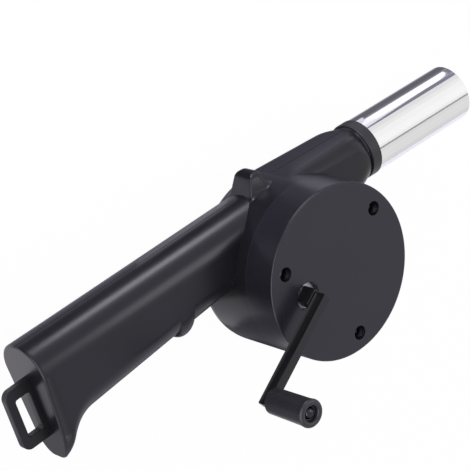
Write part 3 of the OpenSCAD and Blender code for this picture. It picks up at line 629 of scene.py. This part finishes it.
along_x, along_z = Vector((1, 0, 0)), Vector((0, 0, 1))
nozzle_axis = Vector((0, nozzle_y, parting_z))
collar_low, collar_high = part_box("nozzle_collar")
collar_r = (collar_high.y - collar_low.y) / 2
collar_x, collar_end_x = collar_low.x, collar_high.x
tube_root_r = tube_r - 0.7 * MM
fit_gap = 0.04 * MM
collar_bore_r = tube_root_r + fit_gap
collar = turn_piece("collar_ring", rounded([
    (collar_bore_r, collar_x, 0), (collar_r, collar_x, 0.6 * MM), (collar_r, collar_end_x, 0.35 * MM),
    (collar_bore_r, collar_end_x, 0)]), nozzle_axis, along_x)
collar_black = moulded_plastic("collar_black", (0.018, 0.018, 0.02), 0.42)
finish_piece(collar, collar_black, "housing", "collar", "nozzle_collar")


# Nozzle tube
# A thin polished stainless steel tube, pushed over the spigot of the duct and held by the collar. Its root is
# drawn down under the collar, and its open lip is turned smooth.
tube_wall = 0.6 * MM
tube_step_r, tube_lip_r = 0.15 * MM, 0.25 * MM
tube_end_x = tube_high.x
tube_step_x = collar_end_x + tube_wall
tube = turn_piece("steel_tube", rounded([
    (tube_root_r - tube_wall, collar_x, 0), (tube_root_r, collar_x, 0), (tube_root_r, collar_end_x, 0),
    (tube_r, collar_end_x, tube_step_r), (tube_r, tube_end_x, tube_lip_r),
    (tube_r - tube_wall, tube_end_x, tube_lip_r),
    (tube_r - tube_wall, tube_step_x, 0), (tube_root_r - tube_wall, tube_step_x, 0)]),
    nozzle_axis, along_x, sides=192)
haze_size = 12 * MM
streak_depth = 0.002 * MM


def polished_metal(name, colour, roughness, across, along):
    # Polished metal: faint buffing streaks along one direction and a slow change of gloss.
    material, nodes, links, shader = new_material(name)
    shader.inputs["Metallic"].default_value = 1
    place = nodes.new("ShaderNodeTexCoord").outputs["Object"]
    stretch = nodes.new("ShaderNodeMapping")
    stretch.inputs["Scale"].default_value = (1 / along, 1 / across, 1 / across)
    streaks = nodes.new("ShaderNodeTexNoise")
    streaks.inputs["Scale"].default_value = 1
    streaks.inputs["Detail"].default_value = 3
    haze = nodes.new("ShaderNodeTexNoise")
    haze.inputs["Scale"].default_value = 1 / haze_size
    tone = nodes.new("ShaderNodeMix")
    tone.data_type = "RGBA"
    tone.inputs["A"].default_value = (*[c * 0.95 for c in colour], 1)
    tone.inputs["B"].default_value = (*colour, 1)
    gloss = nodes.new("ShaderNodeMapRange")
    gloss.inputs["To Min"].default_value = roughness * 0.7
    gloss.inputs["To Max"].default_value = roughness * 1.4
    bump = nodes.new("ShaderNodeBump")
    bump.inputs["Strength"].default_value = 0.15
    bump.inputs["Distance"].default_value = streak_depth
    links.new(place, stretch.inputs["Vector"])
    links.new(stretch.outputs["Vector"], streaks.inputs["Vector"])
    links.new(place, haze.inputs["Vector"])
    links.new(haze.outputs["Fac"], tone.inputs["Factor"])
    links.new(tone.outputs["Result"], shader.inputs["Base Color"])
    links.new(streaks.outputs["Fac"], gloss.inputs["Value"])
    links.new(gloss.outputs["Result"], shader.inputs["Roughness"])
    links.new(streaks.outputs["Fac"], bump.inputs["Height"])
    links.new(bump.outputs["Normal"], shader.inputs["Normal"])
    return material


tube_steel = polished_metal("tube_steel", (0.95, 0.95, 0.96), 0.065, 0.4 * MM, 40 * MM)
finish_piece(tube, tube_steel, "housing", "steel", "nozzle_tube")


# Strap loop
# A flat moulded bail behind the butt for a wrist cord. Its neck passes through a slot in the butt wall and a
# bar holds it from inside.
loop_l = 32.5 * MM
loop_reach = 15.4 * MM
loop_t = 4 * MM
loop_y = 4.1 * MM
loop_bar, loop_end, loop_root = 4.7 * MM, 6.1 * MM, 2.6 * MM
loop_sink = 2 * MM
loop_corner_r, slot_corner_r = 4.5 * MM, 1.2 * MM
soft_edge_r = 0.45 * MM


def soften_edges(piece):
    # Rounds all sharp edges of a piece a little.
    take(piece)
    step = piece.modifiers.new("soften", "BEVEL")
    step.width = soft_edge_r
    step.segments = 3
    step.limit_method = "ANGLE"
    step.angle_limit = math.radians(40)
    bpy.ops.object.modifier_apply(modifier=step.name)


def turn_and_place(piece, turn, place):
    # Turns a finished piece about the upright and sets it in its place.
    piece.rotation_euler.z = turn
    piece.location = place
    take(piece)
    bpy.ops.object.transform_apply(location=True, rotation=True, scale=True)


loop = block("strap_bail", (loop_reach + loop_sink, loop_l, loop_t),
             ((loop_sink - loop_reach) / 2, loop_y, 0))
edit(loop)
pick_edges(loop, lambda middle, way: abs(way.z) > 0.9 and middle.x < -lap)
round_edges(loop_corner_r, 10)
leave()
slot_l = loop_reach - loop_bar - loop_root
slot = block("slot", (slot_l, loop_l - 2 * loop_end, 3 * loop_t), (-loop_root - slot_l / 2, loop_y, 0))
edit(slot)
pick_edges(slot, lambda middle, way: abs(way.z) > 0.9)
round_edges(slot_corner_r, 6)
leave()
combine(loop, slot, "DIFFERENCE")
soften_edges(loop)
turn_and_place(loop, math.atan(butt_slant), (-butt_x, 0, parting_z))
loop_black = moulded_plastic("loop_black", (0.007, 0.0067, 0.0082), 0.42, shine=0.3)
finish_piece(loop, loop_black, "housing", "loop", "strap_loop")


# Crank bush
# A turned zinc-plated bush with a wide flange, pressed into the round opening of the cover. Its bright face
# is the floor that shows beside the hub block; its colour is kept darker than the screws' zinc as painted
# shade down in the opening.
crank_at = Vector((*crank_xy, 0))
flange_r, bush_body_r, bush_bore = crank_hole_r - fit_gap, bush_hole_r - fit_gap, 3.05 * MM
flange_z = bush_high.z - bush_flange_t
bush = turn_piece("bush_flange", rounded([
    (bush_bore, bush_low.z, 0), (bush_body_r, bush_low.z, 0.3 * MM), (bush_body_r, flange_z, 0),
    (flange_r, flange_z, 0), (flange_r, bush_high.z, 0.2 * MM), (bush_bore, bush_high.z, 0.2 * MM)]),
    crank_at, along_z, sides=96)
# Darker than plain zinc: painted shade for the shadow in the opening of the cover.
bush_zinc_painted_shade = polished_metal("bush_zinc_painted_shade", (0.42, 0.42, 0.44), 0.45, 0.3 * MM, 0.3 * MM)
finish_piece(bush, bush_zinc_painted_shade, "housing", "zinc", "crank_bush")


# Crank arm and hub block
# A straight black bar with shallow channels moulded along its sides. Its inner end goes on down as a block
# into the opening of the cover, where the tenon of the shaft holds both.
hub_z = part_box("crank_hub")[0].z
arm_low, arm_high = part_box("crank_arm")
grip_axis = next(j for j in frame["joints"] if j["name"] == "grip_spin")["pos_m"]
grip_at = Vector((grip_axis[0], grip_axis[1], 0))
arm_l = (grip_at - crank_at).length
arm_turn = math.atan2(grip_at.y - crank_at.y, grip_at.x - crank_at.x)
arm_w, hub_w = 5.2 * MM, 7 * MM
arm_start, arm_end = -2.8 * MM, arm_l + 4 * MM
hub_start, hub_end = -3.7 * MM, 4.8 * MM
channel_d, channel_rim = 0.9 * MM, 1.5 * MM


def arm_bar(name, start, end, width, z0, z1, channel):
    # A bar laid along X with rounded edges, then turned into the direction of the arm.
    piece = block(name, (end - start, width, z1 - z0), ((start + end) / 2, 0, 0))
    if channel:
        edit(piece)
        pick_faces(piece, lambda middle, normal: abs(normal.y) > 0.9)
        bpy.ops.mesh.inset(thickness=channel_rim, depth=-channel, use_individual=True)
        leave()
    soften_edges(piece)
    turn_and_place(piece, arm_turn, (crank_at.x, crank_at.y, (z0 + z1) / 2))
    return piece


arm_black = moulded_plastic("arm_black", (0.006, 0.006, 0.0064), 0.34, shine=0.38)
hub = arm_bar("hub_block", hub_start, hub_end, hub_w, hub_z, arm_low.z, 0)
finish_piece(hub, arm_black, "crank", "arm", "crank_hub")
arm = arm_bar("crank_bar", arm_start, arm_end, arm_w, arm_low.z, arm_high.z, channel_d)
finish_piece(arm, arm_black, "crank", "arm", "crank_arm")


# Grip and pin
# A turned black plastic knob that spins on a blackened steel pin. The tenon of the pin sits in the arm, and
# its domed head in a recess in the free end of the knob.
grip_low, grip_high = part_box("crank_grip")
grip_root_r, grip_waist_r = 6.5 * MM, 6.8 * MM
grip_end_r = (grip_high.x - grip_low.x) / 2
grip_waist_z = grip_high.z - 4 * MM
grip_bore = 2.25 * MM
grip_lip_r, grip_recess_r = 4.2 * MM, 3.6 * MM
grip_recess_z = grip_high.z - 2.6 * MM
grip = turn_piece("grip_knob", rounded([
    (grip_bore, grip_low.z, 0), (grip_root_r, grip_low.z, 0.5 * MM), (grip_waist_r, grip_waist_z, 25 * MM),
    (grip_end_r, grip_high.z, 1.5 * MM), (grip_lip_r, grip_high.z, 1.2 * MM),
    (grip_recess_r, grip_recess_z, 0.4 * MM), (grip_bore, grip_recess_z, 0)]),
    grip_at, along_z, sides=96)
grip_black = moulded_plastic("grip_black", (0.017, 0.0166, 0.0195), 0.38, shine=0.46)
finish_piece(grip, grip_black, "grip", "grip", "crank_grip")

pin_low, pin_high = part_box("grip_pin")
tenon_r, pin_r = 1.5 * MM, 2.2 * MM
head_r, head_h = 3.1 * MM, 1.9 * MM
head_z = pin_high.z - head_h
dome_r = (head_r ** 2 + head_h ** 2) / 2 / head_h
dome_steps = 12
dome = []
for i in range(dome_steps + 1):
    turn = math.asin(head_r / dome_r) * (1 - i / dome_steps)
    dome.append((dome_r * math.sin(turn), pin_high.z - dome_r + dome_r * math.cos(turn)))
pin_outline = [(0, pin_low.z), (tenon_r, pin_low.z), (tenon_r, arm_high.z), (pin_r, arm_high.z),
               (pin_r, head_z)] + dome
pin = turn_piece("grip_pin_dome", pin_outline, grip_at, along_z, sides=64)
pin_steel = polished_metal("pin_steel", (0.045, 0.044, 0.05), 0.08, 0.4 * MM, 0.4 * MM)
finish_piece(pin, pin_steel, "crank", "steel", "grip_pin")


# Screws
# Zinc-plated pan head screws with a cross recess: three long ones deep in the cover, and six from the back
# that draw the two halves together.
screw_r, screw_head_r, screw_head_h = 1.5 * MM, 2.8 * MM, 2 * MM
screw_rim_h = 0.9 * MM
screw_tip_r, screw_tip_l = 0.5 * MM, 1.2 * MM
cross_size, cross_lift = (3.2 * MM, 0.75 * MM, 2 * MM), 0.1 * MM
cross_turn = 0.4
cover_screw_l, shell_screw_l = 20.5 * MM, 14 * MM


def pan_screws(name, places, length, up):
    # Turns one screw for each place (x, y, height of the seat), cuts its cross and joins all to one piece.
    made = []
    for x, y, seat in places:
        outline = [(0, -length), (screw_tip_r, -length), (screw_r, screw_tip_l - length), (screw_r, 0),
                   (screw_head_r, 0), (screw_head_r, screw_rim_h)]
        for degrees in range(15, 91, 15):
            turn = math.radians(degrees)
            outline.append((screw_head_r * math.cos(turn),
                            screw_rim_h + (screw_head_h - screw_rim_h) * math.sin(turn)))
        outline = [(max(r, 0), seat + up * h) for r, h in outline]
        screw = turn_piece(name, outline, Vector((x, y, 0)), along_z, sides=32)
        for turn in (cross_turn, cross_turn + math.pi / 2):
            cross = block("cross", cross_size, (x, y, seat + up * (screw_head_h + cross_lift)), turn)
            combine(screw, cross, "DIFFERENCE")
        made.append(screw)
    take(made[0])
    for screw in made:
        screw.select_set(True)
    bpy.ops.object.join()
    made[0].name = made[0].data.name = name
    return made[0]


screw_zinc = polished_metal("screw_zinc", (0.72, 0.71, 0.74), 0.35, 0.3 * MM, 0.3 * MM)
cover_screws = pan_screws("cover_pan_screws", cover_seats, cover_screw_l, 1)
finish_piece(cover_screws, screw_zinc, "housing", "zinc", "cover_screws")
shell_screws = pan_screws("shell_pan_screws", shell_seats, shell_screw_l, -1)
finish_piece(shell_screws, screw_zinc, "housing", "zinc", "shell_screws")


# The works inside
# The plate, bushes, shafts, gears, clips and fan show only through the grille or with the cover off. They
# keep their CAD shape and take a fitting finish.
shaft_steel = polished_metal("shaft_steel", (0.6, 0.6, 0.61), 0.25, 0.3 * MM, 0.3 * MM)
bronze = polished_metal("bush_bronze", (0.62, 0.42, 0.2), 0.35, 0.3 * MM, 0.3 * MM)
nylon = moulded_plastic("gear_nylon", (0.62, 0.6, 0.54), 0.45)
fan_black = moulded_plastic("fan_black", (0.03, 0.03, 0.032), 0.45)
inside = {
    shaft_steel: ("crank_shaft", "fan_shaft", "idler_axle", "crank_clip", "fan_clip", "idler_clip"),
    bronze: ("crank_lower_bush", "fan_upper_bush", "fan_lower_bush"),
    nylon: ("crank_gear", "idler_gear", "fan_pinion"),
    fan_black: ("fan_wheel", "gear_plate"),
}
for material, names in inside.items():
    for name in names:
        node = frame["nodes"][name]
        node.data.materials.clear()
        node.data.materials.append(material)


# Floor, light and camera
# A white studio floor under the tool, a soft light low behind it and one above. Cards on the floor and round
# the nozzle, which only reflections see, draw the streaks on the black plastic and the bands on the steel:
# the bright ones glow as painted highlights, and the dark ones are painted shade of the floor beside the
# tool.
def stage_material(name, colour, glow, glossy_glow):
    # White for the camera and in part for reflections, with the shadow kept in part.
    material, nodes, links, shader = new_material(name)
    shader.inputs["Base Color"].default_value = (*colour, 1)
    shader.inputs["Roughness"].default_value = 0.9
    light = nodes.new("ShaderNodeEmission")
    path = nodes.new("ShaderNodeLightPath")
    shine = nodes.new("ShaderNodeMath")
    shine.operation = "MULTIPLY"
    shine.inputs[1].default_value = glossy_glow
    share = nodes.new("ShaderNodeMath")
    share.operation = "MULTIPLY_ADD"
    share.inputs[1].default_value = glow
    mix = nodes.new("ShaderNodeMixShader")
    links.new(path.outputs["Is Glossy Ray"], shine.inputs[0])
    links.new(path.outputs["Is Camera Ray"], share.inputs[0])
    links.new(shine.outputs["Value"], share.inputs[2])
    links.new(share.outputs["Value"], mix.inputs["Fac"])
    links.new(shader.outputs["BSDF"], mix.inputs[1])
    links.new(light.outputs["Emission"], mix.inputs[2])
    links.new(mix.outputs["Shader"], nodes["Material Output"].inputs["Surface"])
    return material


deselect_all()
bpy.ops.mesh.primitive_plane_add(size=6)
floor = settle("floor")
floor.data.materials.append(stage_material("floor_white", (0.9, 0.9, 0.9), glow=0.975, glossy_glow=0.2))


def card(name, corners, colour):
    # A studio card that only reflections see, glowing at its tone: a painted reflected highlight when bright,
    # painted reflected shade of the floor when dark.
    deselect_all()
    bpy.ops.mesh.primitive_plane_add(size=1)
    piece = settle(name)
    for vertex, place in zip(piece.data.vertices, corners):
        vertex.co = place
    material, *_, shader = new_material(name)
    shader.inputs["Base Color"].default_value = (0, 0, 0, 1)
    shader.inputs["Specular IOR Level"].default_value = 0
    shader.inputs["Emission Color"].default_value = (*colour, 1)
    shader.inputs["Emission Strength"].default_value = 1
    piece.data.materials.append(material)
    piece.visible_camera = piece.visible_diffuse = piece.visible_shadow = piece.visible_transmission = False


low, high = 0.0005, 0.001


def floor_card(name, x0, x1, y0, y1, z, colour):
    # A card that lies square on the floor.
    card(name, [(x0, y0, z), (x1, y0, z), (x0, y1, z), (x1, y1, z)], colour)


# Cards for the handle and its butt, the thumb stop, the fan chamber and the duct. The bright ones paint
# reflected highlights and glints; the dark ones paint the reflected shade of the floor round the tool.
card("dark_floor_card", [(-0.35, 0.05, low), (0.08, 0.055, low), (-0.2, 0.3, low), (0.225, 0.3, low)],
     (0.23, 0.215, 0.28))
card("stop_floor_card",
     [(-0.075, 0.045, low), (-0.015, 0.044, low), (-0.075, 0.0545, high), (-0.015, 0.0545, high)],
     (1.2, 1.15, 1.3))
for i, (y0, y1, tone) in enumerate(((0.002, 0.05, 1.25), (-0.016, 0.002, 1), (-0.12, -0.016, 0.62))):
    floor_card(f"butt_floor_card_{i}", -0.27, -0.157, y0, y1, low, (tone, tone * 0.97, tone * 1.06))
for i, (x1, y0, y1, tone) in enumerate(((-0.03, -0.029, -0.004, 0.05), (-0.08, -0.12, -0.029, 0.27))):
    floor_card(f"under_floor_card_{i}", -0.155, x1, y0, y1, low, (tone, tone * 0.95, tone * 1.2))
floor_card("drum_side_card", -0.076, -0.04, -0.034, -0.01, high, (0.85, 0.83, 0.9))
floor_card("drum_low_card", -0.08, -0.027, -0.07, -0.029, low, (0.22, 0.21, 0.25))
floor_card("handle_back_card", -0.16, -0.02, 0.028, 0.05, low, (0.5, 0.48, 0.58))
floor_card("drum_under_card", -0.027, 0.06, -0.1, -0.029, low, (0.05, 0.047, 0.06))
floor_card("drum_top_card", -0.06, 0.005, 0.058, 0.1, high, (0.08, 0.076, 0.1))
floor_card("duct_back_card", 0.008, 0.07, 0.036, 0.0575, high, (0.3, 0.285, 0.36))
card("duct_side_card",
     [(0.03, 0.0575, high), (0.085, 0.0575, high), (0.13, 0.225, high), (0.178, 0.225, high)],
     (0.75, 0.72, 0.84))
card("glint_card", [(0.53, -0.12, 0.34), (0.53, -0.05, 0.34), (0.4, -0.12, 0.53), (0.4, -0.05, 0.53)],
     (5, 5, 5.2))
card("edge_card", [(-0.6, -0.4, 0.02), (-0.6, 0.6, 0.02), (-0.6, -0.4, 0.75), (-0.6, 0.6, 0.75)],
     (3, 2.95, 3.2))

# The steel tube has cards of its own, far enough to the right that nothing else mirrors them. Their tones are
# painted reflections: the dark floor cards stand for the shadow of the tube on the floor, and the bright ones
# glow as its highlights.
tube_bands = ((26, 38, 1.0), (38, 45, 0.36), (45, 60, 0.13), (60, 68, 0.17), (68, 74, 0.34))
for i, (y0, y1, tone) in enumerate(tube_bands):
    floor_card(f"tube_floor_card_{i}", 0.06, 0.4, y0 * MM, y1 * MM, low, (tone, tone * 0.97, tone * 1.15))
card("tube_strip_card", [(0.095, 0.074, low), (0.156, 0.074, low), (0.29, 0.33, low), (0.35, 0.33, low)],
     (1.2, 1.2, 1.25))
card("tube_end_card", [(0.156, 0.074, low), (0.4, 0.074, low), (0.35, 0.33, low), (0.7, 0.33, low)],
     (0.2, 0.195, 0.24))
card("tube_back_card", [(0.34, 0.45, 0.1), (0.47, 0.45, -0.06), (0.34, 0.45, 0.115), (0.47, 0.45, 0.115)],
     (0.22, 0.21, 0.26))
tunnel_r = 0.25
tunnel_start_x, tunnel_tube_x, tunnel_end_x = 0.16, 0.215, 0.4


def tunnel_card(name, x0, x1, start, end, tone):
    # One of the cards that stand round the line of the nozzle, by its angles up from the level.
    corners = []
    for degrees in (start, end):
        turn = math.radians(degrees)
        y, z = nozzle_y + tunnel_r * math.cos(turn), parting_z + tunnel_r * math.sin(turn)
        corners += [(x0, y, z), (x1, y, z)]
    card(name, corners, (tone, tone, tone))


for i, (start, end, tone) in enumerate(((0, 30, 0.75), (30, 60, 0.84), (60, 85, 0.9))):
    tunnel_card(f"duct_card_{i}", tunnel_start_x, tunnel_tube_x, start, end, tone)
tunnel_bands = ((16, 30, 0.8), (30, 44, 0.88), (44, 66, 0.96), (66, 92, 0.99), (92, 102, 0.9),
                (102, 109, 0.34), (109, 122, 0.74), (122, 136, 0.77), (136, 160, 0.76), (160, 182, 0.7),
                (182, 205, 0.5))
for i, (start, end, tone) in enumerate(tunnel_bands):
    tunnel_card(f"tube_tunnel_card_{i}", tunnel_tube_x, tunnel_end_x, start, end, tone)

# The room is white for the camera and a little violet for everything else.
world = bpy.data.worlds.new("studio")
bpy.context.scene.world = world
world.use_nodes = True
nodes, links = world.node_tree.nodes, world.node_tree.links
path = nodes.new("ShaderNodeLightPath")
room = nodes["Background"]
room.inputs["Color"].default_value = (0.95, 0.925, 1.05, 1)
room.inputs["Strength"].default_value = 0.88
backdrop = nodes.new("ShaderNodeBackground")
backdrop.inputs["Strength"].default_value = 1
mix = nodes.new("ShaderNodeMixShader")
links.new(path.outputs["Is Camera Ray"], mix.inputs["Fac"])
links.new(room.outputs["Background"], mix.inputs[1])
links.new(backdrop.outputs["Background"], mix.inputs[2])
links.new(mix.outputs["Shader"], nodes["World Output"].inputs["Surface"])


def soft_light(name, place, target, size, watts, colour):
    # A soft light of the given width and height, aimed at a target.
    lamp = bpy.data.lights.new(name, "AREA")
    lamp.shape = "RECTANGLE"
    lamp.size, lamp.size_y = size
    lamp.energy = watts
    lamp.color = colour
    light = bpy.data.objects.new(name, lamp)
    bpy.context.scene.collection.objects.link(light)
    light.location = place
    light.rotation_euler = (Vector(target) - Vector(place)).to_track_quat("-Z", "Y").to_euler()


chamber_middle, handle_middle = (0.01, 0, 0.04), (-0.1, 0.035, 0.025)
soft_light("key_light", (0.01, 0.2375, 0.05), chamber_middle, size=(0.15, 0.06), watts=0.27,
           colour=(0.91, 0.89, 1))
soft_light("top_light", (0.16, 0.09, 0.45), handle_middle, size=(0.2, 0.15), watts=0.33, colour=(1, 0.98, 1))

camera_data = bpy.data.cameras.new("camera")
camera_data.sensor_width = 36
camera_data.lens = 168.5
camera = bpy.data.objects.new("camera", camera_data)
bpy.context.scene.collection.objects.link(camera)
camera.location = (-0.5929, 0.47795, 0.81332)
camera.rotation_euler = [math.radians(a) for a in (-13.402, -40.546, -18.441)]
bpy.context.scene.camera = camera
bpy.context.scene.view_settings.view_transform = "Standard"
